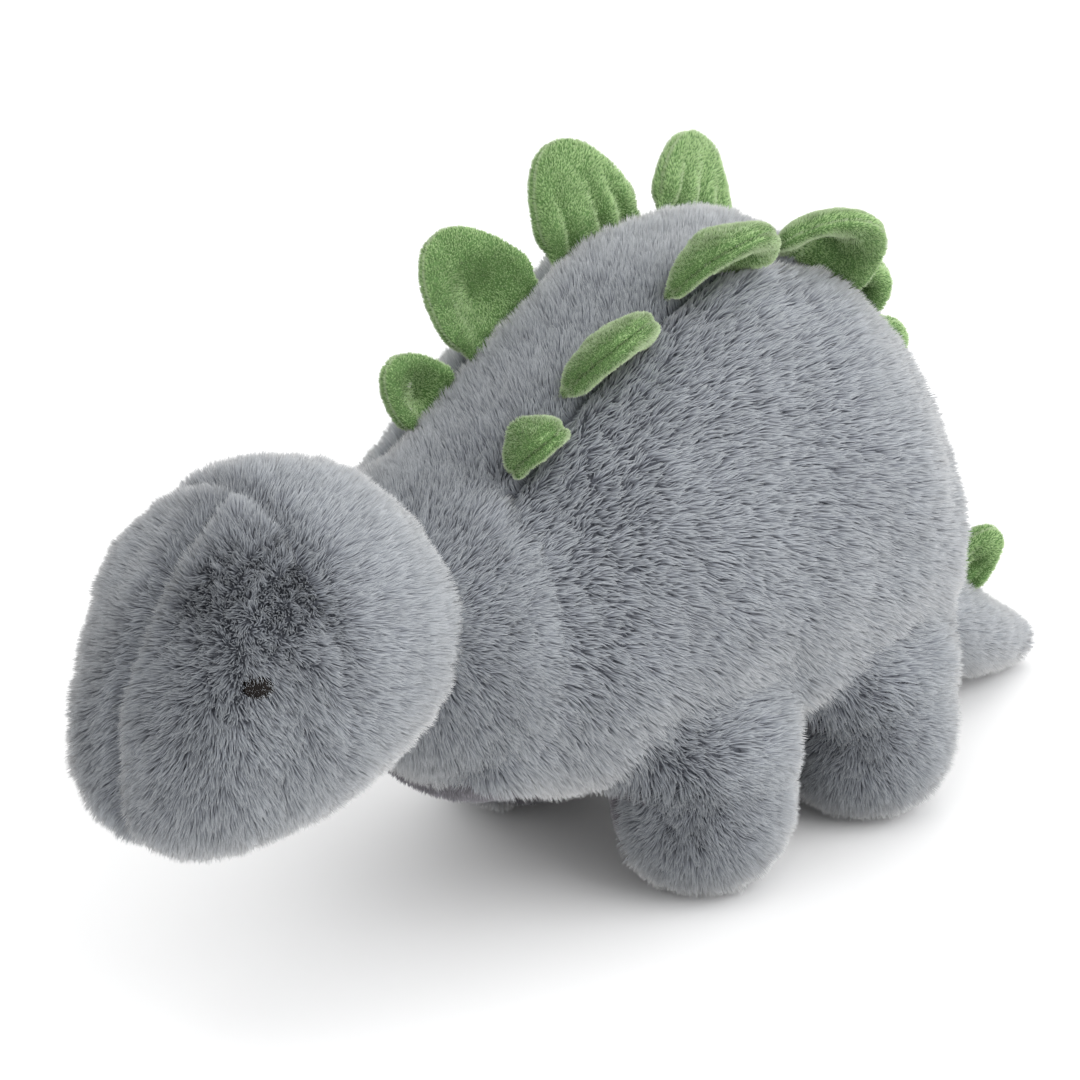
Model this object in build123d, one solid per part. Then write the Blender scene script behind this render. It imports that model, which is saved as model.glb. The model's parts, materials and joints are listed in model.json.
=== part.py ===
"""A stuffed dinosaur with two rows of soft back plates, built as it is sewn: fabric panels
over stuffing, with the head, legs, tail and plates each hinged where their seams let them move.

Frame: millimetres, +Z up, the animal looks along -Y, its left side is +X. The origin lies on the
floor below the middle of the bounding box. Every surface is the outer face of the fabric, with its
pile lying at its natural height."""

import os
from math import cos, radians, sin

from build123d import *

# Driving dimensions (mm)
FABRIC = 4.0  # fur fabric with its pressed pile, and the depth of every panel
JOINT_GAP = 0.4  # room between two pieces that turn on each other
BACK_STRIP = 31.0  # half the width of the strip along the back, between the plate seams
BELLY_SEAM = 60.0  # height of the seam between the belly panel and the sides
BACK_SEAM = 120.0  # lowest point of the back strip, at the neck and above the tail

# Outlines as cross sections: (y, bottom, top, half width), each one an ellipse
BODY = [
    (-114.0, 58.0, 190.0, 66.0),
    (-98.0, 51.0, 200.0, 71.0),
    (-61.0, 40.0, 226.0, 83.0),
    (-11.0, 34.0, 254.0, 92.0),
    (39.0, 34.0, 264.0, 96.0),
    (79.0, 34.0, 250.0, 94.0),
    (117.0, 38.0, 208.0, 83.0),
    (139.0, 48.0, 165.0, 65.0),
    (154.0, 68.0, 125.0, 40.0),
]
HEAD = [
    (-271.0, 102.0, 117.0, 8.0),
    (-267.0, 91.0, 132.0, 23.0),
    (-258.0, 79.0, 156.0, 40.0),
    (-236.0, 67.0, 188.0, 55.0),
    (-199.0, 69.0, 214.0, 64.0),
    (-166.0, 82.0, 210.0, 62.0),
    (-143.0, 96.0, 194.0, 52.0),
    (-132.0, 106.0, 178.0, 42.0),
]
TAIL = [
    (150.0, 31.0, 90.0, 33.0),
    (180.0, 20.0, 80.0, 31.0),
    (212.0, 11.0, 59.0, 27.0),
    (238.0, 6.0, 41.0, 20.0),
    (258.0, 6.0, 28.0, 12.0),
    (269.0, 10.0, 19.0, 4.0),
]

# Neck: a ball of stuffing that the head and the body both sit against
NECK_PIVOT = (0.0, -118.0, 132.0)
NECK_RADIUS = 50.0
HEAD_BACK = -138.0  # where the head ends, ahead of the pivot by more than a full turn needs
HEAD_SEAM = -205.0  # seam between the two face panels and the panel behind them
EYE_SPOT = (51.0, -239.0, 153.0)  # a point on the left side of the face
EYE_SIZE = (5.0, 5.5, 4.0)  # half sizes of the embroidered patch

# Tail root: a ball seated in the rump
TAIL_PIVOT = (0.0, 150.0, 60.0)
TAIL_RADIUS = 34.0
RUMP_FACE = 140.0  # the rump is cut flat here, below RUMP_LEDGE, so the tail can swing
RUMP_LEDGE = 101.0

# Legs: stubs with a ball top, seated in pockets of the body
HIPS = {
    "front_left": (54.0, -10.0),
    "front_right": (-54.0, -10.0),
    "hind_left": (54.0, 92.0),
    "hind_right": (-54.0, 92.0),
}
HIP_HEIGHT = 46.0
HIP_RADIUS = 42.0
LEG_RADIUS = 40.0
SOLE_RADIUS = 13.0
SOLE_BEND = 31.0  # height at which the leg starts to round in to its sole

# Plates, from the neck to the tail: the y of the base, its distance from the middle, the length
# and height of the plate, and the degrees that the left and the right one lean out from upright
PLATES = [
    (-79.0, 30.0, 33.0, 27.0, 48.0, 26.0),
    (-40.0, 31.0, 52.0, 45.0, 48.0, 26.0),
    (14.0, 31.0, 56.0, 45.0, 48.0, 24.0),
    (72.0, 31.0, 52.0, 38.0, 48.0, 22.0),
    (104.0, 29.0, 34.0, 22.0, 38.0, 24.0),
    (125.0, 26.0, 26.0, 19.0, 32.0, 24.0),
    (202.0, 12.0, 27.0, 27.0, 20.0, 20.0),
]
TAIL_PLATES = 1  # how many of them, counted from the last, are sewn to the tail
LEFT_AHEAD = 5.0  # the left row is sewn this much further forward than the right one
PLATE_THICK = 12.0
PLATE_LIFT = 3.0  # gap between the body and the lower edge of a plate
PLATE_FABRIC = 2.0
# A plate's outline up its height: (height, length, thickness), as fractions of the whole
PETAL = [
    (0.00, 0.66, 0.45),
    (0.14, 0.88, 0.85),
    (0.40, 1.00, 1.00),
    (0.68, 0.84, 0.95),
    (0.88, 0.50, 0.75),
    (1.00, 0.16, 0.35),
]

BIG = 900.0  # larger than the whole animal, for cutting tools


def tube(sections, inset=0.0):
    """A smooth solid through upright elliptical sections, made smaller all round by inset."""
    faces = []
    first, last = sections[0][0], sections[-1][0]
    for y, low, high, half in sections:
        place = min(max(y, first + inset), last - inset)
        plane = Plane(origin=(0, place, (low + high) / 2), x_dir=(1, 0, 0), z_dir=(0, 1, 0))
        half_height = (high - low) / 2
        ellipse = plane * Ellipse(max(half - inset, 1.0), max(half_height - inset, 1.0))
        faces.append(ellipse.face())
    return Solid.make_loft([face.outer_wire() for face in faces])


def ball(centre, radius):
    return Pos(*centre) * Sphere(radius)


def block(low, high):
    """A box between two corners."""
    size = [b - a for a, b in zip(low, high)]
    middle = [(a + b) / 2 for a, b in zip(low, high)]
    return Pos(*middle) * Box(*size)


def side(sign):
    """Everything on the left (+1) or the right (-1) of the animal."""
    return block((0, -BIG, -BIG), (BIG, BIG, BIG)) if sign > 0 else block((-BIG, -BIG, -BIG), (0, BIG, BIG))


def leg_profile(inset):
    """A leg's half outline about its upright axis: ball top, straight side, rounded foot."""
    top = HIP_RADIUS - inset
    wall = LEG_RADIUS - inset
    shoulder = (top**2 - wall**2) ** 0.5
    sole = SOLE_RADIUS - inset / 2
    with BuildSketch(Plane.XZ) as sketch:
        with BuildLine():
            RadiusArc((0, HIP_HEIGHT + top), (wall, HIP_HEIGHT + shoulder), top)
            Line((wall, HIP_HEIGHT + shoulder), (wall, SOLE_BEND))
            foot = (wall * 0.82, SOLE_BEND * 0.30 + inset * 0.5)
            ThreePointArc((wall, SOLE_BEND), foot, (sole, inset))
            Line((sole, inset), (0, inset))
            Line((0, inset), (0, HIP_HEIGHT + top))
        make_face()
    return sketch.sketch


def leg_form(inset=0.0):
    return revolve(leg_profile(inset), Axis.Z)


def surface_height(form, x, y):
    """The height at which the upper face of a form stands at a place."""
    hits = form.find_intersection_points(Axis((x, y, BIG), (0, 0, -1)))
    return max(point.Z for point, normal in hits)


def plate_plane(form, y, half_width, lean, sign):
    """A plate's own frame: origin on the seam, X along the seam, Z up the plate."""
    step = 2.0
    ahead = surface_height(form, half_width, y - step)
    behind = surface_height(form, half_width, y + step)
    here = surface_height(form, half_width, y)
    along = Vector(0, 2 * step, behind - ahead).normalized()
    square = Vector(0, -along.Z, along.Y)
    up = Vector(sign * sin(radians(lean)), 0, 0) + square * cos(radians(lean))
    return Plane(origin=(sign * half_width, y, here), x_dir=along, z_dir=up)


def petal(plane, length, height, inset=0.0):
    """A padded plate: elliptical sections stacked up its height."""
    wires = []
    for up, wide, thick in PETAL:
        level = PLATE_LIFT + inset + up * (height - PLATE_LIFT - 2 * inset)
        section = Ellipse(
            max(length * wide / 2 - inset, 0.8),
            max(PLATE_THICK * thick / 2 - inset, 0.5),
        )
        wires.append((plane.offset(level) * section).face().outer_wire())
    return Solid.make_loft(wires)


def save(name, shape):
    shape.label = name
    export_step(shape, f"parts/{name}.step")


os.makedirs("parts", exist_ok=True)

# Whole forms, and the pockets that the moving pieces sit in
body_outer = tube(BODY)
body_inner = tube(BODY, FABRIC)
head_outer = tube(HEAD)
head_inner = tube(HEAD, FABRIC)
neck_pocket = ball(NECK_PIVOT, NECK_RADIUS + JOINT_GAP)
tail_pocket = ball(TAIL_PIVOT, TAIL_RADIUS + JOINT_GAP)
rump_cut = block((-BIG, RUMP_FACE, -BIG), (BIG, BIG, RUMP_LEDGE))
pockets = [neck_pocket, tail_pocket, rump_cut]
for x, y in HIPS.values():
    pockets.append(ball((x, y, HIP_HEIGHT), HIP_RADIUS + JOINT_GAP))

# Body: stuffing inside a back strip, two sides and a belly
body_fill = body_inner
body_skin = body_outer - body_inner
for pocket in pockets:
    body_fill = body_fill - pocket
    body_skin = body_skin - pocket
belly_zone = block((-BIG, -BIG, -BIG), (BIG, BIG, BELLY_SEAM))
back_zone = block((-BACK_STRIP, -BIG, BACK_SEAM), (BACK_STRIP, BIG, BIG))
save("body_fill", body_fill)
save("body_belly_panel", body_skin & belly_zone)
save("body_back_strip", body_skin & back_zone)
body_sides = body_skin - belly_zone - back_zone
save("body_side_left", body_sides & side(1))
save("body_side_right", body_sides & side(-1))

# Neck
save("neck_fill", ball(NECK_PIVOT, NECK_RADIUS))

# Head: stuffing inside two face panels and one panel behind them, with embroidered eyes
head_zone = block((-BIG, -BIG, -BIG), (BIG, HEAD_BACK, BIG))
face_zone = block((-BIG, -BIG, -BIG), (BIG, HEAD_SEAM, BIG))
head_skin = (head_outer - head_inner - neck_pocket) & head_zone
face_skin = head_skin & face_zone
save("head_fill", (head_inner - neck_pocket) & head_zone)
save("head_back_panel", head_skin - face_zone)
eye = Pos(*EYE_SPOT) * scale(Sphere(1.0), by=EYE_SIZE) - head_outer
for sign, name in ((1, "left"), (-1, "right")):
    save(f"head_face_{name}", face_skin & side(sign))
    save(f"eye_{name}", eye if sign > 0 else mirror(eye, about=Plane.YZ))

# Legs: a fur sleeve, a sole and stuffing each
leg_outer = leg_form()
leg_inner = leg_form(FABRIC)
sole = Pos(0, 0, FABRIC / 2) * Cylinder(SOLE_RADIUS - FABRIC / 2, FABRIC)
leg_sleeve = leg_outer - leg_inner - sole
for name, (x, y) in HIPS.items():
    save(f"{name}_leg_sleeve", Pos(x, y, 0) * leg_sleeve)
    save(f"{name}_leg_sole", Pos(x, y, 0) * sole)
    save(f"{name}_leg_fill", Pos(x, y, 0) * leg_inner)

# Tail: two panels over stuffing, with a ball at its root
tail_outer = tube(TAIL) + ball(TAIL_PIVOT, TAIL_RADIUS)
tail_inner = tube(TAIL, FABRIC) + ball(TAIL_PIVOT, TAIL_RADIUS - FABRIC)
tail_skin = tail_outer - tail_inner
save("tail_fill", tail_inner)
for sign, name in ((1, "left"), (-1, "right")):
    save(f"tail_side_{name}", tail_skin & side(sign))

# Plates: a minky cover over batting, one pair for each place along the back
hinges = {}
for sign, row in ((1, "left"), (-1, "right")):
    for number, (y, half_width, length, height, *leans) in enumerate(PLATES, start=1):
        lean = leans[0] if sign > 0 else leans[1]
        on_tail = number > len(PLATES) - TAIL_PLATES
        if sign > 0 and not on_tail:
            y -= LEFT_AHEAD
        form = tail_outer if on_tail else body_outer
        plane = plate_plane(form, y, half_width, lean, sign)
        outer = petal(plane, length, height)
        inner = petal(plane, length, height, PLATE_FABRIC)
        save(f"plate_{row}_{number}_cover", outer - inner)
        save(f"plate_{row}_{number}_batting", inner)
        hinges[f"plate_{row}_{number}"] = plane

for name, plane in hinges.items():
    place = ", ".join(f"{v:.2f}" for v in plane.origin)
    print(f"{name}: hinge at ({place}), up ({plane.z_dir.X:.4f}, {plane.z_dir.Y:.4f}, {plane.z_dir.Z:.4f})")
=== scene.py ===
import json
import math

import bmesh
import bpy
import numpy as np
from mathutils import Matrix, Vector
from mathutils.bvhtree import BVHTree


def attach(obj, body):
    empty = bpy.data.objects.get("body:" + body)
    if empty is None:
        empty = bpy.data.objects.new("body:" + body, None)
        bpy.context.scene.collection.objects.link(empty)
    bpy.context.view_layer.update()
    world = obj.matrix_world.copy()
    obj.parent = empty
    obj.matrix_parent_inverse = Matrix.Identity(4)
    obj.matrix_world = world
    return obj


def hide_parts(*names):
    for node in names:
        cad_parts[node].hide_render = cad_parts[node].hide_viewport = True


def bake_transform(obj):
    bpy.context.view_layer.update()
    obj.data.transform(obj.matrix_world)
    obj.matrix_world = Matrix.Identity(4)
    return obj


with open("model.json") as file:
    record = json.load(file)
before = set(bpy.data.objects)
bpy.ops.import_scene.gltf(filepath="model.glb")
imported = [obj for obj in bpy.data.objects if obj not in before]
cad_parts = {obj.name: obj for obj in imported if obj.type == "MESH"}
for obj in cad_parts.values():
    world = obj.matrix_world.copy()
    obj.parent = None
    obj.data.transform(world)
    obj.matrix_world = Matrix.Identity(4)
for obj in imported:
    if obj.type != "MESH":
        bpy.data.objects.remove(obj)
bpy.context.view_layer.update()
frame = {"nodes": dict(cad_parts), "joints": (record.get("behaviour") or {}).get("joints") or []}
MM = 0.001
rng = np.random.default_rng(517)

# ---------------------------------------------------------------- sizes (mm, in the CAD frame)
PILE = 6.0  # how far the long pile stands off its backing
LONG_PILE = (7.4, 0.85, 2.1)  # a strand's length and width, and strands per square millimetre
SHORT_PILE = (3.2, 0.8, 1.6)
NAP_LENGTH, NAP_WIDTH, NAP_DENSITY = 1.5, 0.6, 3.0  # the nap of the plates
MOST_STRANDS = 62000  # on any one piece
ROOT_DEPTH = 0.4  # how far a strand's root lies below its backing
SOLE_GAP = 0.4  # the lowest that a strand's tip may reach
CLUMP_SWAY, FINE_SWAY, JITTER = 0.08, 0.09, 0.09  # how unevenly strands lean: tufts, wisps, one by one
STRIP = 31.0  # half the width of the back strip
STRIP_FOOT = 120.0  # the back strip ends at this height
BELLY_LINE = 52.0  # the height of the belly's seam
BELLY_HALF = 62.0  # half the width of the belly panel
BELLY_CREST, BELLY_RISE = -70.0, 0.42  # ahead of this the belly's seam rises toward the neck
HEAD_SEAM = -205.0  # between the face panels and the back of the head
LEG_SEAM = 9.0  # how far inside its hip a leg's panels meet
SOLE_TOP = 3.4
SOLE_TRIM = 0.22  # how much of the short pile's length is left on a sole
COLLAR_OVERLAP, PANEL_OVERLAP = 1.5, 4.0  # how deep pile may start inside a neighbour
EYE = (51.5, -237.5, 153.0)  # the left eye; the right one mirrors it
EYE_CLEARING = 5.6  # no pile grows nearer than this to the middle of an eye
HIPS = {
    "front_left": (54.0, -10.0),
    "front_right": (-54.0, -10.0),
    "hind_left": (54.0, 92.0),
    "hind_right": (-54.0, 92.0),
}

# Cross sections of the pile's outer face: (y, bottom, top, half width)
TORSO = [
    (-128, 59, 182, 56),
    (-114, 51, 190, 65),
    (-98, 46, 200, 71),
    (-61, 40, 226, 83),
    (-11, 34, 254, 92),
    (39, 34, 264, 96),
    (79, 34, 250, 94),
    (117, 38, 208, 83),
    (139, 46, 165, 66),
    (155, 66, 125, 42),
]
HEAD = [
    (-270, 101, 119, 12),
    (-258, 81, 156, 40),
    (-236, 70, 189, 55),
    (-199, 71, 214, 64),
    (-166, 83, 210, 62),
    (-143, 98, 193, 50),
    (-133, 108, 178, 40),
]
TAIL = [
    (130, 40, 90, 28),
    (150, 31, 91, 34),
    (180, 20, 80, 32),
    (212, 8, 57, 28),
    (238, 3, 38, 21),
    (258, 2, 25, 14),
    (268, 3, 17, 8),
]
NECK_TUBE = [
    (-162, 104, 164, 32),
    (-146, 86, 178, 48),
    (-128, 68, 186, 60),
    (-106, 54, 196, 69),
    (-90, 58, 190, 64),
]


# ---------------------------------------------------------------- mesh helpers
def catmull(values, t):
    """A smooth curve through rows of values, at t counted in rows."""
    i = min(int(t), len(values) - 2)
    u = t - i
    a = values[max(i - 1, 0)]
    b, c = values[i], values[i + 1]
    d = values[min(i + 2, len(values) - 1)]
    return 0.5 * (2 * b + (c - a) * u + (2 * a - 5 * b + 4 * c - d) * u**2 + (3 * b - a - 3 * c + d) * u**3)


def tube(sections, inset, steps=5, around=40):
    """A closed tube through elliptical sections, with its ends drawn to a point."""
    rows = np.array(sections, float)
    points, faces = [], []
    count = (len(rows) - 1) * steps + 1
    for k in range(count):
        y, low, high, half = catmull(rows, k / steps)
        mid, tall = (low + high) / 2, (high - low) / 2 - inset
        half, tall = max(half - inset, 1.6), max(tall, 1.6)
        y = min(max(y, rows[0][0] + inset), rows[-1][0] - inset)
        for j in range(around):
            angle = 2 * math.pi * j / around
            points.append((half * math.cos(angle), y, mid + tall * math.sin(angle)))
    for k in range(count - 1):
        for j in range(around):
            n = (j + 1) % around
            a, b = k * around, (k + 1) * around
            faces.append((a + j, a + n, b + n, b + j))
    for k, turn in ((0, 1), (count - 1, -1)):
        ring = list(range(k * around, (k + 1) * around))
        faces.append(tuple(ring[::-turn]))
    return np.array(points), faces


def egg(centre, radii, around=32, rows=20):
    """A closed ellipsoid, for a swelling that is fused into a skin."""
    points, faces = [], []
    for i in range(rows + 1):
        up = math.pi * i / rows
        for j in range(around):
            a = 2 * math.pi * j / around
            v = (math.sin(up) * math.cos(a), math.sin(up) * math.sin(a), math.cos(up))
            points.append([c + r * x for c, r, x in zip(centre, radii, v)])
    for i in range(rows):
        for j in range(around):
            n = (j + 1) % around
            faces.append((i * around + j, (i + 1) * around + j, (i + 1) * around + n, i * around + n))
    return np.array(points, float), faces


def new_object(name, data):
    obj = bpy.data.objects.new(name, data)
    bpy.context.scene.collection.objects.link(obj)
    return obj


def object_of(name, points, faces):
    """A mesh object from points in millimetres."""
    mesh = bpy.data.meshes.new(name)
    mesh.from_pydata([tuple(p) for p in np.asarray(points) * MM], [], faces)
    bm = bmesh.new()
    bm.from_mesh(mesh)
    bmesh.ops.remove_doubles(bm, verts=bm.verts, dist=1e-6)
    bmesh.ops.recalc_face_normals(bm, faces=bm.faces)
    bm.to_mesh(mesh)
    bm.free()
    return new_object(name, mesh)


def coords(mesh):
    co = np.empty(len(mesh.vertices) * 3)
    mesh.vertices.foreach_get("co", co)
    return co.reshape(-1, 3) / MM


def set_coords(mesh, co):
    mesh.vertices.foreach_set("co", (co * MM).ravel())
    mesh.update()


def normals(mesh):
    n = np.empty(len(mesh.vertices) * 3)
    mesh.vertices.foreach_get("normal", n)
    return n.reshape(-1, 3)


def shade_smooth(mesh):
    mesh.polygons.foreach_set("use_smooth", np.ones(len(mesh.polygons), bool))


def tree_of(obj):
    """A search tree over a mesh, in millimetres."""
    faces = [tuple(face.vertices) for face in obj.data.polygons]
    return BVHTree.FromPolygons([tuple(point) for point in coords(obj.data)], faces)


def voxel_remesh(obj, voxel):
    """Replaces a mesh with one even skin, without the walls inside it."""
    remesh = obj.modifiers.new("Remesh", "REMESH")
    remesh.mode = "VOXEL"
    remesh.voxel_size = voxel * MM
    evaluated = obj.evaluated_get(bpy.context.evaluated_depsgraph_get())
    mesh = bpy.data.meshes.new_from_object(evaluated)
    obj.modifiers.clear()
    obj.data = mesh


def relax(mesh, steps, amount=0.6):
    """Smooths a mesh, which rounds the creases where two forms were joined."""
    edges = np.empty(len(mesh.edges) * 2, np.int64)
    mesh.edges.foreach_get("vertices", edges)
    a, b = edges.reshape(-1, 2).T
    co = coords(mesh)
    degree = np.bincount(np.r_[a, b], minlength=len(co))[:, None]
    for _ in range(steps):
        total = np.zeros_like(co)
        np.add.at(total, a, co[b])
        np.add.at(total, b, co[a])
        co = co + amount * (total / degree - co)
    set_coords(mesh, co)


def fuse(name, shapes, voxel, steps, swell=0.0):
    """Joins closed forms into one skin, then relaxes it."""
    points, faces, start = [], [], 0
    for p, f in shapes:
        points.append(p)
        faces += [tuple(i + start for i in face) for face in f]
        start += len(p)
    obj = object_of(name, np.concatenate(points), faces)
    voxel_remesh(obj, voxel)
    relax(obj.data, steps)
    set_coords(obj.data, coords(obj.data) + normals(obj.data) * swell)
    return obj


def press(obj, depth_at):
    """Moves the skin in along its normals by depth_at(points) millimetres."""
    co = coords(obj.data)
    set_coords(obj.data, co - normals(obj.data) * depth_at(co)[:, None])


def cut(obj, planes):
    """Cuts the skin along planes, given as (point, normal), so that panels end on straight seams."""
    bm = bmesh.new()
    bm.from_mesh(obj.data)
    for point, normal in planes:
        geometry = bm.verts[:] + bm.edges[:] + bm.faces[:]
        bmesh.ops.bisect_plane(bm, geom=geometry, plane_co=Vector(point) * MM, plane_no=normal, dist=1e-7)
    bmesh.ops.triangulate(bm, faces=bm.faces)
    bm.to_mesh(obj.data)
    bm.free()


def skin_of(obj):
    """Points, point normals and triangles of a skin, in millimetres."""
    mesh = obj.data
    mesh.calc_loop_triangles()
    tris = np.empty(len(mesh.loop_triangles) * 3, np.int64)
    mesh.loop_triangles.foreach_get("vertices", tris)
    return coords(mesh), normals(mesh), tris.reshape(-1, 3)


def ramp(x, low, high):
    """0 below low and 1 above high, with a smooth rise between them."""
    t = np.clip((x - low) / (high - low), 0, 1)
    return t * t * (3 - 2 * t)


def unit(v):
    return v / np.maximum(np.linalg.norm(v, axis=-1, keepdims=True), 1e-9)


class Waves:
    """A smooth random field of vectors, made of sine waves about `size` millimetres long."""

    def __init__(self, size, seed, count=14):
        r = np.random.default_rng(seed)
        self.k = unit(r.normal(size=(count, 3))) * (2 * math.pi / size) * r.uniform(0.6, 1.5, (count, 1))
        self.phase = r.uniform(0, 2 * math.pi, (count, 3))
        self.gain = (2 / count) ** 0.5

    def __call__(self, p):
        angle = p @ self.k.T
        return np.stack([np.sin(angle + self.phase[:, i]).sum(1) for i in range(3)], 1) * self.gain


broad, clump, fine = Waves(60, 11), Waves(13, 12), Waves(5.5, 13)


# ---------------------------------------------------------------- pile
def scatter(points, point_normals, tris, density):
    """Random places on a skin, evenly over its area, and their normals."""
    a, b, c = (points[tris[:, i]] for i in range(3))
    area = np.linalg.norm(np.cross(b - a, c - a), axis=1) / 2
    wanted = min(int(area.sum() * density), MOST_STRANDS)
    pick = np.searchsorted(np.cumsum(area), rng.uniform(0, area.sum(), wanted)).clip(0, len(tris) - 1)
    u, v = rng.uniform(size=(2, wanted, 1))
    flip = (u + v) > 1
    u, v = np.where(flip, 1 - u, u), np.where(flip, 1 - v, v)
    t = tris[pick]
    place = points[t[:, 0]] * (1 - u - v) + points[t[:, 1]] * u + points[t[:, 2]] * v
    normal = unit(
        point_normals[t[:, 0]] * (1 - u - v) + point_normals[t[:, 1]] * u + point_normals[t[:, 2]] * v
    )
    return place, normal, wanted / area.sum()


def strands(place, normal, comb, length, width, jitter=JITTER):
    """Pile as slender three-sided spikes. comb gives each one's lean over the surface and its tilt
    from upright, in radians. Returns points, their normals, how far along they are, and triangles."""
    lean, tilt = comb(place, normal)
    lean = unit(lean - normal * (lean * normal).sum(1, keepdims=True) + 1e-9)
    sway = clump(place) * CLUMP_SWAY + fine(place) * FINE_SWAY
    count = len(place)
    wobble = rng.normal(scale=jitter, size=(count, 3))
    tilt = tilt[:, None]
    axis = unit(normal * np.cos(tilt) + lean * np.sin(tilt) + sway + wobble)
    size = (length * rng.uniform(0.84, 1.08, count) * (1 + 0.07 * clump(place)[:, 0]))[:, None]
    tip = place + axis * size
    tip[:, 2] = np.maximum(tip[:, 2], SOLE_GAP)
    side = unit(np.cross(axis, rng.normal(size=(count, 3))))
    other = np.cross(axis, side)
    radius = width / 2 * rng.uniform(0.75, 1.2, (count, 1))
    corners, shades = [], []
    for k in range(3):
        out = side * math.cos(k * 2 * math.pi / 3) + other * math.sin(k * 2 * math.pi / 3)
        corners.append(place - normal * ROOT_DEPTH + out * radius)
        shades.append(unit(normal * 0.8 + out * 0.4 + wobble * 0.6))
    corners.append(tip)
    shades.append(unit(normal * 0.8 + axis * 0.2 + wobble * 0.8))
    along = np.broadcast_to(np.array([0.0, 0.0, 0.0, 1.0]), (count, 4))
    pattern = np.array([(0, 1, 3), (1, 2, 3), (2, 0, 3)])
    tris = (np.arange(count)[:, None, None] * 4 + pattern).reshape(-1, 3)
    points, shades = np.stack(corners, 1).reshape(-1, 3), np.stack(shades, 1).reshape(-1, 3)
    return points, shades, along.reshape(-1), tris


CELL = np.array([(0.08, 0.1), (0.5, 0.06), (0.92, 0.1), (0.5, 0.94)])  # a strand's corners in its cell
BACKING_UV = 0.06  # the strip of the UV map above the cells, for the backing


def piled(name, skin, pile, materials):
    """One piece: its backing, and the pile that stands on it. The UV map gives each strand a cell
    of its own, so that its colours bake along its length."""
    points, point_normals, tris = skin
    s_points, s_normals, s_along, s_tris = pile
    used, inverse = np.unique(tris, return_inverse=True)
    b_points, b_normals = points[used], point_normals[used]
    b_tris = inverse.reshape(-1, 3)
    nb, count = len(b_points), len(s_points) // 4
    co = np.concatenate([b_points, s_points]) * MM
    all_tris = np.concatenate([b_tris, s_tris + nb])
    mesh = bpy.data.meshes.new(name)
    mesh.vertices.add(len(co))
    mesh.vertices.foreach_set("co", co.astype(np.float32).ravel())
    mesh.loops.add(len(all_tris) * 3)
    mesh.loops.foreach_set("vertex_index", all_tris.astype(np.int32).ravel())
    mesh.polygons.add(len(all_tris))
    mesh.polygons.foreach_set("loop_start", np.arange(0, len(all_tris) * 3, 3, dtype=np.int32))
    mesh.update(calc_edges=True)
    shade_smooth(mesh)
    index = np.r_[np.zeros(len(b_tris), np.int32), np.ones(len(s_tris), np.int32)]
    mesh.polygons.foreach_set("material_index", index)
    # colour data: how far along the strand, the strand's own tone, 1 on the pile
    data = np.ones((len(co), 4), np.float32)
    data[:nb, 0:3] = (0.0, 0.5, 0.0)
    data[nb:, 0] = s_along
    data[nb:, 1] = np.repeat(rng.uniform(0, 1, count), 4)
    attribute = mesh.color_attributes.new("pile", "FLOAT_COLOR", "POINT")
    attribute.data.foreach_set("color", data.ravel())
    side = int(math.ceil(math.sqrt(count * 1.15)))
    cell = 1.0 / side
    ids = np.arange(count)
    corner = np.stack([(ids % side) * cell, (ids // side) * cell], 1)
    strand_uv = (corner[:, None, :] + CELL[None] * cell).reshape(-1, 2)
    strand_uv[:, 1] *= 1 - BACKING_UV
    low, high = b_points.min(0), b_points.max(0)
    flat = (b_points - low) / (high - low + 1e-9)
    base_uv = np.stack([flat[:, 1], 1 - BACKING_UV + 0.01 + flat[:, 2] * 0.045], 1)
    uv = np.concatenate([base_uv, strand_uv])[all_tris.ravel()]
    mesh.uv_layers.new(name="OFBake").data.foreach_set("uv", uv.astype(np.float32).ravel())
    mesh.normals_split_custom_set_from_vertices(np.concatenate([b_normals, s_normals]).tolist())
    for m in materials:
        mesh.materials.append(m)
    return new_object(name, mesh)


def group(tris, points, wanted):
    """The triangles whose middles satisfy wanted(middle)."""
    return tris[wanted(points[tris].mean(1))]


def depth_in(obj, p):
    """How deep points lie inside a closed skin, in millimetres; below zero outside it."""
    tree = tree_of(obj)
    out = np.empty(len(p))
    for i, point in enumerate(p.tolist()):
        near, normal, _, distance = tree.find_nearest(point)
        out[i] = -distance if (Vector(point) - near).dot(normal) > 0 else distance
    return out


# ---------------------------------------------------------------- materials
def material(name):
    m = bpy.data.materials.new(name)
    m.use_nodes = True
    return m, m.node_tree.nodes, m.node_tree.links, m.node_tree.nodes["Principled BSDF"]


def noise(nodes, links, scale, detail=4.0, stretch=None):
    """Noise fixed to the object, scale features per metre."""
    where = nodes.new("ShaderNodeTexCoord")
    texture = nodes.new("ShaderNodeTexNoise")
    texture.inputs["Scale"].default_value = scale
    texture.inputs["Detail"].default_value = detail
    if stretch:
        mapping = nodes.new("ShaderNodeMapping")
        mapping.inputs["Scale"].default_value = stretch
        links.new(where.outputs["Object"], mapping.inputs["Vector"])
        links.new(mapping.outputs["Vector"], texture.inputs["Vector"])
    else:
        links.new(where.outputs["Object"], texture.inputs["Vector"])
    return texture.outputs["Fac"]


def spread(nodes, links, value, low, high, near=0.0, far=1.0):
    """Maps near..far onto low..high."""
    node = nodes.new("ShaderNodeMapRange")
    node.inputs["From Min"].default_value = near
    node.inputs["From Max"].default_value = far
    node.inputs["To Min"].default_value = low
    node.inputs["To Max"].default_value = high
    links.new(value, node.inputs["Value"])
    return node.outputs["Result"]


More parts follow.
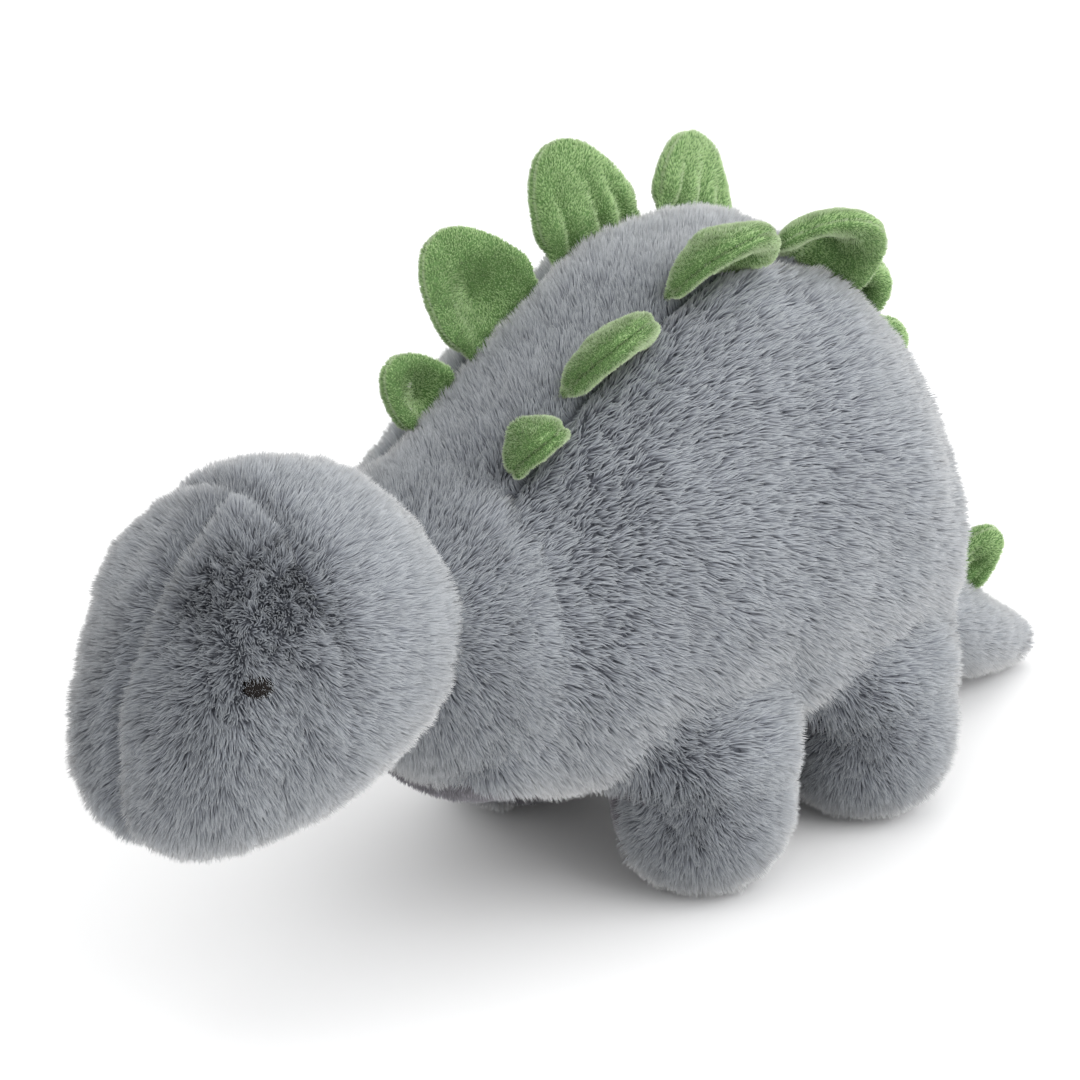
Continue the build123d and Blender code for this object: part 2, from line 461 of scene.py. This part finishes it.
def ramp_of(nodes, links, value, stops):
    """Colours a value by (place, colour) stops."""
    node = nodes.new("ShaderNodeValToRGB")
    elements = node.color_ramp.elements
    while len(elements) < len(stops):
        elements.new(0.5)
    for element, (place, colour) in zip(elements, stops):
        element.position = place
        element.color = (*colour, 1)
    links.new(value, node.inputs["Fac"])
    return node.outputs["Color"]


def times(nodes, links, a, b):
    node = nodes.new("ShaderNodeMath")
    node.operation = "MULTIPLY"
    links.new(a, node.inputs[0])
    links.new(b, node.inputs[1])
    return node.outputs["Value"]


def lit(nodes, links, colour, value):
    """A colour made lighter or darker by a value."""
    node = nodes.new("ShaderNodeHueSaturation")
    links.new(colour, node.inputs["Color"])
    links.new(value, node.inputs["Value"])
    return node.outputs["Color"]


def pile_material(name, stops, own, patch, roughness, sheen, tint):
    """Pile: each strand's colour runs from a root darkened with painted shade to a lighter tip, partly the
    fibre's own silvery tip, with its own tone and patches.
    """
    m, nodes, links, shader = material(name)
    data = nodes.new("ShaderNodeVertexColor")
    data.layer_name = "pile"
    parts = nodes.new("ShaderNodeSeparateColor")
    links.new(data.outputs["Color"], parts.inputs["Color"])
    colour = ramp_of(nodes, links, parts.outputs["Red"], stops)
    tone = spread(nodes, links, parts.outputs["Green"], 1 - own, 1 + own)
    broad_tone = spread(nodes, links, noise(nodes, links, 55, 3), 1 - patch, 1 + patch, 0.3, 0.7)
    colour = lit(nodes, links, colour, times(nodes, links, tone, broad_tone))
    links.new(colour, shader.inputs["Base Color"])
    rough = spread(nodes, links, noise(nodes, links, 900, 2), roughness - 0.08, roughness + 0.08)
    links.new(rough, shader.inputs["Roughness"])
    shader.inputs["Specular IOR Level"].default_value = 0.25
    shader.inputs["Sheen Weight"].default_value = sheen
    shader.inputs["Sheen Roughness"].default_value = 0.45
    shader.inputs["Sheen Tint"].default_value = (*tint, 1)
    return m


def cloth_material(name, dark, light, scale, roughness, bump, stretch=None, gloss=0.3):
    """Knitted backing, wadding or thread: two tones of fine noise, with the same noise as relief."""
    m, nodes, links, shader = material(name)
    grain = noise(nodes, links, scale, 6, stretch)
    colour = ramp_of(nodes, links, grain, [(0.3, dark), (0.7, light)])
    links.new(colour, shader.inputs["Base Color"])
    rough = spread(nodes, links, grain, roughness - 0.1, roughness + 0.1)
    links.new(rough, shader.inputs["Roughness"])
    shader.inputs["Specular IOR Level"].default_value = gloss
    relief = nodes.new("ShaderNodeBump")
    relief.inputs["Strength"].default_value = bump
    relief.inputs["Distance"].default_value = 0.0004
    links.new(grain, relief.inputs["Height"])
    links.new(relief.outputs["Normal"], shader.inputs["Normal"])
    return m


# From root to tip: the dark roots are painted shade down among the strands; the light tips are partly the
# fibres' own silvery colour.
fur = pile_material(
    "long_fur",
    [
        (0.0, (0.125, 0.134, 0.157)), (0.35, (0.200, 0.216, 0.246)),
        (0.7, (0.315, 0.338, 0.368)), (1.0, (0.495, 0.520, 0.541)),
    ],
    0.12, 0.06, 0.62, 0.9, (1.0, 0.99, 0.98),
)
# From root to tip: the darkest roots are painted shade down among the strands, over the short pile's own
# dark colour.
short_fur = pile_material(
    "short_fur",
    [(0.0, (0.05, 0.047, 0.055)), (0.5, (0.13, 0.125, 0.14)), (1.0, (0.27, 0.26, 0.28))],
    0.25, 0.12, 0.7, 0.3, (0.9, 0.88, 0.95),
)
# From root to tip: the dark roots are painted shade down in the nap; the lighter tips are the plush's own
# green.
green = pile_material(
    "plush_green",
    [(0.0, (0.090, 0.19, 0.050)), (0.5, (0.272, 0.435, 0.165)), (1.0, (0.60, 0.78, 0.43))],
    0.16, 0.08, 0.6, 0.8, (0.88, 1.0, 0.72),
)
KNIT = 1400  # stitches of the backings per metre
backing = cloth_material("fur_backing", (0.07, 0.075, 0.09), (0.13, 0.14, 0.165), KNIT, 0.8, 0.5)
short_backing = cloth_material(
    "short_fur_backing", (0.045, 0.042, 0.05), (0.10, 0.095, 0.11), KNIT, 0.8, 0.5
)
green_backing = cloth_material(
    "plush_green_backing", (0.06, 0.13, 0.035), (0.13, 0.24, 0.08), KNIT, 0.8, 0.5
)
wadding = cloth_material("stuffing", (0.62, 0.61, 0.58), (0.86, 0.85, 0.82), 260, 0.9, 0.8)
thread = cloth_material(
    "thread", (0.003, 0.0025, 0.0025), (0.016, 0.012, 0.010), 2600, 0.5, 0.6, (1.0, 1.0, 0.15), 0.15
)

# ---------------------------------------------------------------- the lie of the pile
FACE_CROWN = np.array([45.0, -236.0, 182.0])  # the pile of each face panel leans out from here
BRUSHED = unit(np.array([0.67, -0.65, 0.36]))  # how the band across each cheek is brushed
PARTINGS = np.array([(40.0, -240.0, 174.0), (47.6, -217.0, 182.0)])  # spots where it falls open
PARTING_REACH = 6.5


def away_from(p, spot, reach):
    """Which way pile falls away from a spot, how far off it is, and how much the spot tells within
    its reach; the spot is mirrored on both sides of the animal."""
    sign = np.where(p[:, :1] < 0, -1.0, 1.0)
    offset = p - spot * np.concatenate([sign, np.ones((len(p), 2))], 1)
    distance = np.linalg.norm(offset, axis=1)
    return offset / np.maximum(distance, 1e-6)[:, None], distance, np.exp(-((distance / reach) ** 2))


def comb_torso(p, n):
    """Outward and down beside the plates, then back along the sides."""
    x, y, z = p.T
    seam = np.exp(-(((np.abs(x) - STRIP) / 9.0) ** 2)) * ramp(z, 110, 140)
    near_plates = ramp(z, 170, 245)
    low = 1 - ramp(z, 35, 120)
    lean = np.stack([(0.2 + 1.2 * seam) * np.sign(x), 1.0 - 0.6 * near_plates, -(0.1 + 0.3 * low)], 1)
    return lean, 0.38 - 0.05 * near_plates + 0.45 * seam


def comb_strip(p, n):
    """Nearly upright between the plates, falling in from the two seams."""
    x, y, z = p.T
    seam = np.exp(-(((np.abs(x) - STRIP) / 8.0) ** 2))
    lean = np.stack([-1.4 * seam * np.sign(x) - 0.15, np.full(len(p), 0.5), 0.0 * x], 1)
    return lean, 0.22 + 0.4 * seam


def straight_back(tilt):
    """Pile that lies evenly toward the tail."""
    def comb(p, n):
        lean = np.stack([0.05 * np.sign(p[:, 0]), np.full(len(p), 0.95), np.full(len(p), -0.1)], 1)
        return lean, np.full(len(p), tilt)
    return comb


def comb_leg(p, n):
    """Upright on the front of a leg, lying back and down behind it."""
    lean = np.stack([0.1 * np.sign(p[:, 0]), np.full(len(p), 0.8), np.full(len(p), -0.55)], 1)
    return lean, 0.12 + 0.30 * ramp(n[:, 1], -0.6, 0.6)


def comb_face(p, n):
    """Out from the crown of each cheek, brushed forward in a band across it, and falling open at the
    partings, the eye and the middle seam."""
    lean, reach, _ = away_from(p, FACE_CROWN, 1.0)
    tilt = 0.08 + 0.33 * ramp(reach, 12, 60)
    for spot in (*PARTINGS, np.array(EYE)):
        fall, _, near = away_from(p, spot, PARTING_REACH)
        lean = lean + fall * (2.5 * near)[:, None]
        tilt = tilt + 0.6 * near
    seam = np.exp(-((p[:, 0] / 7.0) ** 2)) * (1 - ramp(p[:, 1], HEAD_SEAM - 20, HEAD_SEAM))
    lean[:, 0] += 2.0 * seam * np.sign(p[:, 0])
    tilt = (tilt + 0.35 * seam)[:, None]
    lean = unit(lean - n * (lean * n).sum(1, keepdims=True) + 1e-9)
    band = 0.85 * np.exp(-(((p[:, 2] - FACE_CROWN[2]) / 17.0) ** 2)) * ramp(np.abs(p[:, 0]), 4, 14)
    forward = BRUSHED * np.where(p[:, :1] < 0, [[-1.0, 1.0, 1.0]], [[1.0, 1.0, 1.0]])
    heading = (n * np.cos(tilt) + lean * np.sin(tilt)) * (1 - band)[:, None] + forward * band[:, None]
    upright = (heading * n).sum(1)
    lying = heading - n * upright[:, None]
    return lying, np.arctan2(np.linalg.norm(lying, axis=1), upright)


# ---------------------------------------------------------------- skins
def flare(x, y):
    """The body's cloth where it swells over the top of a leg."""
    return egg((x * 0.94, y, 60.0), (41.0 - PILE, 47.0 - PILE, 40.0 - PILE))


def leg_tube(x, y):
    """A leg: a ball top hidden in the body, a straight stub and a rounded foot with a flat sole."""
    rows = [
        (2.0, 0), (2.0, 6), (3.0, 10.5), (5.5, 16), (9.0, 21.5), (13.5, 26.5), (19, 30.5),
        (26, 33), (34, 34), (42, 34), (54, 32.5), (66, 27), (74, 17), (78, 0),
    ]
    around = 44
    points, faces = [], []
    for z, radius in rows:
        for j in range(around):
            a = 2 * math.pi * j / around
            points.append((x + radius * math.cos(a), y + radius * 1.02 * math.sin(a), z))
    for i in range(len(rows) - 1):
        for j in range(around):
            n = (j + 1) % around
            faces.append((i * around + j, i * around + n, (i + 1) * around + n, (i + 1) * around + j))
    return np.array(points, float), faces


VOXEL = 3.4
rump = egg((0, 136, 62), (41 - PILE, 22, 44 - PILE))
flares = [flare(x, y) for x, y in HIPS.values()]
torso = fuse("torso_form", [tube(TORSO, PILE), rump, *flares], VOXEL, 14, 0.8)
head = fuse("head_form", [tube(HEAD, PILE)], VOXEL, 5, 0.3)
tail = fuse("tail_form", [tube(TAIL, PILE - 1.5)], 3.0, 5, 0.3)
neck = fuse("neck_form", [tube(NECK_TUBE, PILE)], VOXEL, 4, 0.2)
legs = {name: fuse(name + "_form", [leg_tube(x, y)], 3.0, 5, 0.4) for name, (x, y) in HIPS.items()}


def plate_seams(p):
    """The back's two sewn seams, where the plates are caught in, pulled in between the panels."""
    top = ramp(p[:, 2], 110, 135)
    return 4.0 * np.exp(-(((np.abs(p[:, 0]) - STRIP) / 5.0) ** 2)) * top


def head_seams(p):
    """The seam down the middle of the face, and the one between face and back of the head."""
    middle = 4.6 * np.exp(-((p[:, 0] / 4.5) ** 2)) * (1 - ramp(p[:, 1], HEAD_SEAM - 22, HEAD_SEAM + 2))
    high = 0.15 + 0.85 * ramp(p[:, 2], 130, 170)
    return middle + 2.6 * high * np.exp(-(((p[:, 1] - HEAD_SEAM) / 4.0) ** 2))


def cheeks(p):
    """The face is flatter at the height of the eyes and fuller at the brow."""
    forward = 1 - ramp(p[:, 1], -232, -208)
    wide = ramp(np.abs(p[:, 0]), 18, 40)
    flat = 3.5 * np.exp(-(((p[:, 2] - 128) / 24) ** 2))
    full = 3.5 * np.exp(-(((p[:, 2] - 178) / 16) ** 2))
    return (flat - full) * forward * wide


def bulges(p, amount=1.0):
    """The slow unevenness of a hand-stuffed toy."""
    return broad(p)[:, 0] * amount


press(torso, lambda p: plate_seams(p) + bulges(p))
press(head, lambda p: head_seams(p) + cheeks(p) + bulges(p, 0.8))
press(tail, lambda p: 2.2 * np.exp(-((p[:, 0] / 4.0) ** 2)) * ramp(p[:, 2], 30, 50))


# ---------------------------------------------------------------- stuffing
def stuffing(name, form, body, node, gap=2.0, voxel=6.0):
    """A lumpy piece of wadding that fills a skin."""
    obj = form.copy()
    obj.data = form.data.copy()
    obj.name = obj.data.name = name
    bpy.context.scene.collection.objects.link(obj)
    press(obj, lambda p: gap + 0.7 * np.abs(clump(p)[:, 0]))
    voxel_remesh(obj, voxel)
    obj.data.name = name
    shade_smooth(obj.data)
    obj.data.materials.clear()
    obj.data.materials.append(wadding)
    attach(obj, body)
    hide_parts(node)


stuffing("body_wadding", torso, "torso", "body_fill")
stuffing("head_wadding", head, "head", "head_fill")
stuffing("tail_wadding", tail, "tail", "tail_fill", voxel=4.0)
stuffing("neck_wadding", neck, "neck", "neck_fill", gap=8.0)
for leg, form in legs.items():
    stuffing(leg + "_wadding", form, leg + "_leg", leg + "_leg_fill", voxel=5.0)


# ---------------------------------------------------------------- fur panels
def panel(name, skin, zone, comb, long_pile, body, nodes, hidden_by=(), trim=None):
    """One sewn panel of fur: its part of a skin and the pile that grows on it."""
    points, point_normals, tris = skin
    tris = group(tris, points, zone)
    length, width, density = LONG_PILE if long_pile else SHORT_PILE
    place, normal, actual = scatter(points, point_normals, tris, density)
    width *= (density / actual) ** 0.4  # fewer strands than wanted are a little broader
    for other in hidden_by:
        seen = depth_in(other, place) < (COLLAR_OVERLAP if body == "neck" else PANEL_OVERLAP)
        place, normal = place[seen], normal[seen]
    size = np.full(len(place), length)
    if trim is not None:
        factor = trim(place)
        place, normal, size = place[factor > 0], normal[factor > 0], (size * factor)[factor > 0]
    pile = strands(place, normal, comb, size, width)
    materials = [backing, fur] if long_pile else [short_backing, short_fur]
    obj = piled(name, (points, point_normals, tris), pile, materials)
    if body == "neck":
        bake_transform(obj)
    else:
        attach(obj, body)
    if nodes:
        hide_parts(*nodes)


def short_near(distance, left=0.6):
    """The pile is caught short in a seam, down to `left` of its length."""
    return left + (1 - left) * ramp(distance, 0.5, 4.5)


def plate_seam_trim(p):
    return np.where(p[:, 2] > 125, short_near(np.abs(np.abs(p[:, 0]) - STRIP)), 1.0)


def is_strip(p):
    return (np.abs(p[:, 0]) < STRIP) & (p[:, 2] > STRIP_FOOT)


def is_belly(p):
    rise = np.maximum(BELLY_CREST - p[:, 1], 0) * BELLY_RISE
    return (p[:, 2] < BELLY_LINE + rise) & (np.abs(p[:, 0]) < BELLY_HALF)


def everywhere(p):
    return np.ones(len(p), bool)


cut(torso, [
    *[((x, 0, 0), (1, 0, 0)) for x in (STRIP, -STRIP, 0, BELLY_HALF, -BELLY_HALF)],
    *[((0, 0, z), (0, 0, 1)) for z in (BELLY_LINE, STRIP_FOOT)],
    ((0, BELLY_CREST, BELLY_LINE), (0, BELLY_RISE, 1)),
])
torso_skin = skin_of(torso)
covered = [tail, neck, *legs.values()]
panel(
    "body_back_strip_fur", torso_skin, is_strip,
    comb_strip, True, "torso", ["body_back_strip"], [neck], plate_seam_trim,
)
for word, sign in (("left", 1), ("right", -1)):
    panel(
        f"body_side_{word}_fur", torso_skin,
        lambda p: (p[:, 0] * sign > 0) & ~is_strip(p) & ~is_belly(p),
        comb_torso, True, "torso", [f"body_side_{word}"], covered, plate_seam_trim,
    )
panel(
    "body_belly_pile", torso_skin, is_belly,
    straight_back(0.42), False, "torso", ["body_belly_panel"], covered,
)
panel("neck_collar", skin_of(neck), everywhere, straight_back(0.42), True, "neck", [], [torso, head])


def head_trim(p):
    """The pile is caught short at the seam behind the face, most of all high up."""
    return short_near(np.abs(p[:, 1] - HEAD_SEAM), 0.95 - 0.2 * ramp(p[:, 2], 130, 170))


def face_trim(p):
    """The pile is cut away over the eyes, and shorter round them and at the seams."""
    eye = np.stack([np.abs(p[:, 0]), p[:, 1], p[:, 2]], 1) - np.array(EYE)
    distance = np.linalg.norm(eye / np.array([1.0, 1.15, 1.0]), axis=1)
    clearing = np.where(distance < EYE_CLEARING, 0.0, 0.5 + 0.5 * ramp(distance, 5, 12))
    return clearing * head_trim(p) * short_near(np.abs(p[:, 0]))


cut(head, [((0, 0, 0), (1, 0, 0)), ((0, HEAD_SEAM, 0), (0, 1, 0))])
head_skin = skin_of(head)
panel(
    "head_back_fur", head_skin, lambda p: p[:, 1] > HEAD_SEAM,
    straight_back(0.45), True, "head", ["head_back_panel"], [neck], head_trim,
)
for word, sign in (("left", 1), ("right", -1)):
    panel(
        f"head_face_{word}_fur", head_skin, lambda p: (p[:, 0] * sign > 0) & (p[:, 1] < HEAD_SEAM),
        comb_face, True, "head", [f"head_face_{word}"], (), face_trim,
    )
cut(tail, [((0, 0, 0), (1, 0, 0))])
tail_skin = skin_of(tail)
for word, sign in (("left", 1), ("right", -1)):
    panel(
        f"tail_side_{word}_fur", tail_skin, lambda p: p[:, 0] * sign > 0,
        straight_back(0.6), True, "tail", [f"tail_side_{word}"], [torso],
    )


def leg_zone(seam, side, outer):
    """The part of a leg's skin above its sole, on the outer or the inner side of its seam."""
    def zone(p):
        return (p[:, 2] > SOLE_TOP) & (((p[:, 0] - seam) * side > 0) == outer)
    return zone


for leg, (x, y) in HIPS.items():
    side = math.copysign(1, x)
    seam = x - math.copysign(LEG_SEAM, x)
    cut(legs[leg], [((seam, 0, 0), (1, 0, 0)), ((0, 0, SOLE_TOP), (0, 0, 1))])
    leg_skin = skin_of(legs[leg])
    panel(
        leg + "_leg_outer_fur", leg_skin, leg_zone(seam, side, True),
        comb_leg, True, leg + "_leg", [leg + "_leg_sleeve"], [torso],
    )
    panel(
        leg + "_leg_inner_pile", leg_skin, leg_zone(seam, side, False),
        comb_leg, False, leg + "_leg", [], [torso],
    )
    panel(
        leg + "_leg_sole_pile", leg_skin, lambda p: p[:, 2] <= SOLE_TOP,
        straight_back(0.42), False, leg + "_leg", [leg + "_leg_sole"],
        trim=lambda p: np.full(len(p), SOLE_TRIM),
    )

# ---------------------------------------------------------------- plates
# Each plate, from the neck to the tail: length along the seam, height, how far it cups outward
# (inward below zero), how deep its pleats are, and how far behind its place on the seam it leans
LEAVES = {
    "left": [
        (31, 25, 0.9, 0.2, -1), (49, 41, 0.3, 0.2, -2), (55, 41, 0.9, 0.2, 2), (54, 37, 1.3, 0.2, 4),
        (33, 19, 0.5, 0.5, 3), (26, 15, 0.4, 0.5, 3), (28, 28, 0.4, 0.5, 0),
    ],
    "right": [
        (35, 25, -0.9, 0.2, -5), (56, 45, -0.8, 0.2, -5), (57, 42, -0.1, 0.9, -4), (50, 38, -0.1, 0.9, -5),
        (34, 19, 0.3, 0.6, 0), (26, 16, 0.3, 0.6, 0), (28, 28, 0.3, 0.6, 0),
    ],
}
PLATE_THICK = 14.5
PLATE_TWIST = 0.2  # radians that the left plates turn, their rear ends outward
PLATE_ROOT = -6.0  # where a plate's sewn edge lies below its hinge, in the pile
RIM_GROOVE = 2.2  # how deep the seam round a plate's rim is pulled in
COVER_THICK = 1.6  # how much smaller the batting is than its cover, all round
PLEAT_PLACES = np.array([-0.45, 0.05, 0.5])  # along the base, in halves of its length


def plate_form(leaf, seed, shrink=0.0):
    """A stuffed plate in its own frame: a leaf with a thick rounded rim and a seam round it. It cups
    to one side, and its base is gathered into the body's seam with pleats."""
    length, height, cup, pleat, behind = leaf
    side, cup = math.copysign(1, cup), abs(cup)
    r = np.random.default_rng(seed)
    rows, columns = 38, 52
    v = 0.5 - 0.5 * np.cos(np.linspace(0, math.pi, rows + 1))
    t = np.sin(np.linspace(-0.5, 0.5, columns + 1) * math.pi)
    V, T = np.meshgrid(v, t, indexing="ij")  # from base to tip, and from front to rear
    # the outline: a round top, and a base gathered in more the deeper the plate cups
    gather = 0.10 + 0.16 * cup
    taper = np.sqrt(np.clip(1 - V**2.3, 0, 1)) * (1 - 0.10 * V) * (1 - gather * (1 - ramp(V, 0.0, 0.38)))
    half = length / 2 * taper + 0.01
    x = T * half / (length / 2)
    # the thickness: full to near the rim, pinched at the base
    plump = (1 - np.abs(T) ** 3.4) ** 0.5 * np.clip(1 - V**5.0, 0, 1) ** 0.5
    seat = 0.34 + 0.66 * ramp(V, 0.0, 0.34)
    closed = (1 - np.clip(1 - V * 16, 0, 1) ** 2) ** 0.5
    w = PLATE_THICK / 2 * plump * seat * closed
    along, level = T * half, PLATE_ROOT + V * (height - PLATE_ROOT)
    # the seam round the rim, pulled toward the plate's centre
    centre = 0.4 * height
    reach = np.hypot(along, level - centre) + 1e-6
    groove = (RIM_GROOVE * np.clip(1 - w / 2.6, 0, 1) * ramp(V, 0.08, 0.2) + shrink) / reach
    along, level = along * (1 - groove) + behind, level - (level - centre) * groove
    # the cup: ends and tip bent to one side, and a hollow in the middle of that side
    bend = 0.20 * length * x**2 * (1 - 0.3 * V) + 0.24 * height * (V - 0.3) * V
    curve = side * cup * bend + 0.5 * np.sin(x * 2.4 + seed) * V
    hollow = min(1.1 * cup, 0.78) * np.exp(-((x / 0.46) ** 2) - ((V - 0.36) / 0.26) ** 2)
    curve = curve - 0.8 * side * hollow * w
    sheets = []
    for sign in (1, -1):
        creases = np.zeros_like(V)
        for place in PLEAT_PLACES + r.uniform(-0.1, 0.1, 3):
            creases += np.exp(-(((x - place * (1 - 0.2 * V)) / 0.11) ** 2)) * r.uniform(0.7, 1.0)
        fold = pleat * 5.0 * creases * np.exp(-((V / 0.55) ** 3)) * plump
        swell = pleat * 1.4 * np.exp(-(((V - 0.3) / 0.25) ** 2)) * plump
        skin = w * (1 - (hollow if sign == side else 0.15 * hollow)) + swell - fold * ramp(V, 0.0, 0.1)
        skin = np.maximum(skin - shrink, 0.15)
        sheets.append(np.stack([along, sign * skin * np.minimum(plump * 3, 1) + curve, level], -1))
    sheets = [sheet.reshape(-1, 3) for sheet in sheets]
    n = columns + 1
    faces = []
    for i in range(rows):
        for j in range(columns):
            a = i * n + j
            faces.append((a, a + 1, a + n + 1, a + n))
            b = a + len(sheets[0])
            faces.append((b + n, b + n + 1, b + 1, b))
    return np.concatenate(sheets), faces


def place_form(obj, origin, along, up):
    """Moves a plate from its own frame to its place, with its outer side outward."""
    across = np.cross(up, along)
    across = across * math.copysign(1, across[0] * origin[0])
    p = coords(obj.data)
    set_coords(obj.data, origin + p[:, :1] * along + p[:, 1:2] * across + p[:, 2:] * up)
    if np.dot(np.cross(along, across), up) < 0:
        obj.data.flip_normals()


JOINTS = {joint["child"]: joint for joint in frame["joints"]}


def plate(body, leaf, seed, twist):
    """One plate: its batting, and its cover with the nap on it."""
    origin = np.array(JOINTS[body]["pos_m"]) / MM
    along = unit(np.array(JOINTS[body]["axis"], float))
    middle = coords(frame["nodes"][body + "_cover"].data).mean(0) - origin
    up = unit(middle - along * (middle @ along))
    along = along * math.copysign(1, along[1])
    if twist:
        along = along * math.cos(twist) + np.cross(along, up) * math.sin(twist)
    forms = []
    for name, shrink in ((body + "_cover_form", 0.0), (body + "_wadding", COVER_THICK)):
        form = object_of(name, *plate_form(leaf, seed, shrink))
        relax(form.data, 1, 0.4)
        place_form(form, origin, along, up)
        forms.append(form)
    cover, core = forms
    shade_smooth(core.data)
    core.data.materials.append(wadding)
    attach(core, body)
    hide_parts(body + "_batting")

    def comb_plate(p, n):
        rearward = (p - origin) @ along / leaf[0]
        return up * 0.8 + along * rearward[:, None], np.full(len(p), 0.75)

    skin = skin_of(cover)
    place, normal, _ = scatter(*skin, NAP_DENSITY)
    pile = strands(place, normal, comb_plate, np.full(len(place), NAP_LENGTH), NAP_WIDTH, 0.2)
    obj = piled(body + "_plush", skin, pile, [green_backing, green])
    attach(obj, body)
    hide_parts(body + "_cover")
    bpy.data.objects.remove(cover)


for row, sign in (("left", 1), ("right", -1)):
    for i, leaf in enumerate(LEAVES[row], 1):
        plate(f"plate_{row}_{i}", leaf, i * 7 + sign, PLATE_TWIST if sign > 0 else 0.0)


# ---------------------------------------------------------------- eyes
EYE_HALF_WIDE, EYE_HALF_TALL = 5.6, 4.4
EYE_STITCHES = 17
STITCH_THICK = 0.40


def wall(start, around):
    """The faces between a ring of points, which begins at start, and the next ring."""
    return [
        (start + b, start + (b + 1) % around, start + around + (b + 1) % around, start + around + b)
        for b in range(around)
    ]


def satin_eye(name, sign):
    """An embroidered oval: satin stitches side by side over a low pad."""
    near, normal, _, _ = tree_of(head).find_nearest(Vector((EYE[0] * sign, EYE[1], EYE[2])))
    normal = Vector(normal)
    down = (Vector((0, 0, -1)) - normal * Vector((0, 0, -1)).dot(normal)).normalized()
    across = normal.cross(down)
    points, faces = [], []
    segments, around = 12, 6
    for k in range(EYE_STITCHES):
        s = (k + 0.5) / EYE_STITCHES * 2 - 1
        reach = EYE_HALF_TALL * math.sqrt(1 - s * s * 0.98)
        start = len(points)
        for a in range(segments + 1):
            q = a / segments * 2 - 1
            lift = 4.6 * (1 - 0.36 * (q * reach / EYE_HALF_TALL) ** 2 - 0.26 * s * s)
            lean = 0.25 * q
            line = near + across * (s * EYE_HALF_WIDE + lean) + down * (q * reach) + normal * lift
            taper = STITCH_THICK * (1 - abs(q) ** 6 * 0.7)
            for b in range(around):
                angle = 2 * math.pi * b / around
                wide, high = taper * math.cos(angle), taper * math.sin(angle)
                points.append(line + across * wide + normal * high)
        last = start + segments * around
        for ring in range(start, last, around):
            faces += wall(ring, around)
        faces.append(tuple(range(start, start + around)))
        faces.append(tuple(reversed(range(last, last + around))))
    # the pad under the stitches
    rings, around = 6, 28
    start = len(points)
    for ring in range(rings + 1):
        s = ring / rings
        lift = 4.3 - 1.5 * s * s if ring < rings else -1.0
        for b in range(around):
            angle = 2 * math.pi * b / around
            wide, tall = EYE_HALF_WIDE * s * math.cos(angle), EYE_HALF_TALL * s * math.sin(angle)
            points.append(near + across * wide + down * tall + normal * lift)
    for ring in range(rings):
        faces += [face[::-1] for face in wall(start + ring * around, around)]
    obj = object_of(name, [tuple(p) for p in points], faces)
    shade_smooth(obj.data)
    obj.data.materials.append(thread)
    return obj


for word, sign in (("left", 1), ("right", -1)):
    eye = satin_eye(f"eye_{word}_embroidery", sign)
    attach(eye, "head")
    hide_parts(f"eye_{word}")

for form in (torso, head, tail, neck, *legs.values()):
    bpy.data.objects.remove(form)

# ---------------------------------------------------------------- floor, light and camera (metres)
bpy.ops.mesh.primitive_plane_add(size=24, location=(0, 0, -0.0005))
floor = bpy.context.object
floor.name = "floor"
paper, nodes, links, shader = material("studio_paper")
paper_stops = [(0.3, (0.915, 0.915, 0.915)), (0.7, (0.92, 0.92, 0.92))]
links.new(ramp_of(nodes, links, noise(nodes, links, 3, 2), paper_stops), shader.inputs["Base Color"])
shader.inputs["Roughness"].default_value = 0.9
floor.data.materials.append(paper)

world = bpy.data.worlds.new("studio")
bpy.context.scene.world = world
world.use_nodes = True
world.node_tree.nodes["Background"].inputs["Color"].default_value = (1.0, 1.0, 1.0, 1)
world.node_tree.nodes["Background"].inputs["Strength"].default_value = 0.95


def softbox(name, place, size, power):
    """A rectangular light aimed at the middle of the animal."""
    light = bpy.data.lights.new(name, "AREA")
    light.shape = "RECTANGLE"
    light.size, light.size_y = size
    light.energy = power
    obj = new_object(name, light)
    obj.location = place
    obj.rotation_euler = (Vector((0, 0, 0.12)) - Vector(place)).to_track_quat("-Z", "Y").to_euler()


softbox("key", (2.0, 0.7, 1.3), (2.6, 2.4), 46)
softbox("top", (-0.3, 0.3, 2.3), (3.0, 3.0), 24)
softbox("fill", (0.6, -2.2, 1.0), (2.4, 2.0), 3)

CAMERA_WAY = Vector((0.669, -0.646, 0.3665))  # from the front left, a little above
CAMERA_DISTANCE = 1.5
camera = new_object("camera", bpy.data.cameras.new("camera"))
target = Vector((-0.034, -0.017, 0.127))
camera.location = target + CAMERA_WAY * CAMERA_DISTANCE
camera.rotation_euler = (target - camera.location).to_track_quat("-Z", "Y").to_euler()
camera.data.sensor_width = 36
camera.data.lens = 119.5
camera.data.clip_end = 50
bpy.context.scene.camera = camera
bpy.context.scene.view_settings.view_transform = "Standard"

bpy.context.view_layer.update()
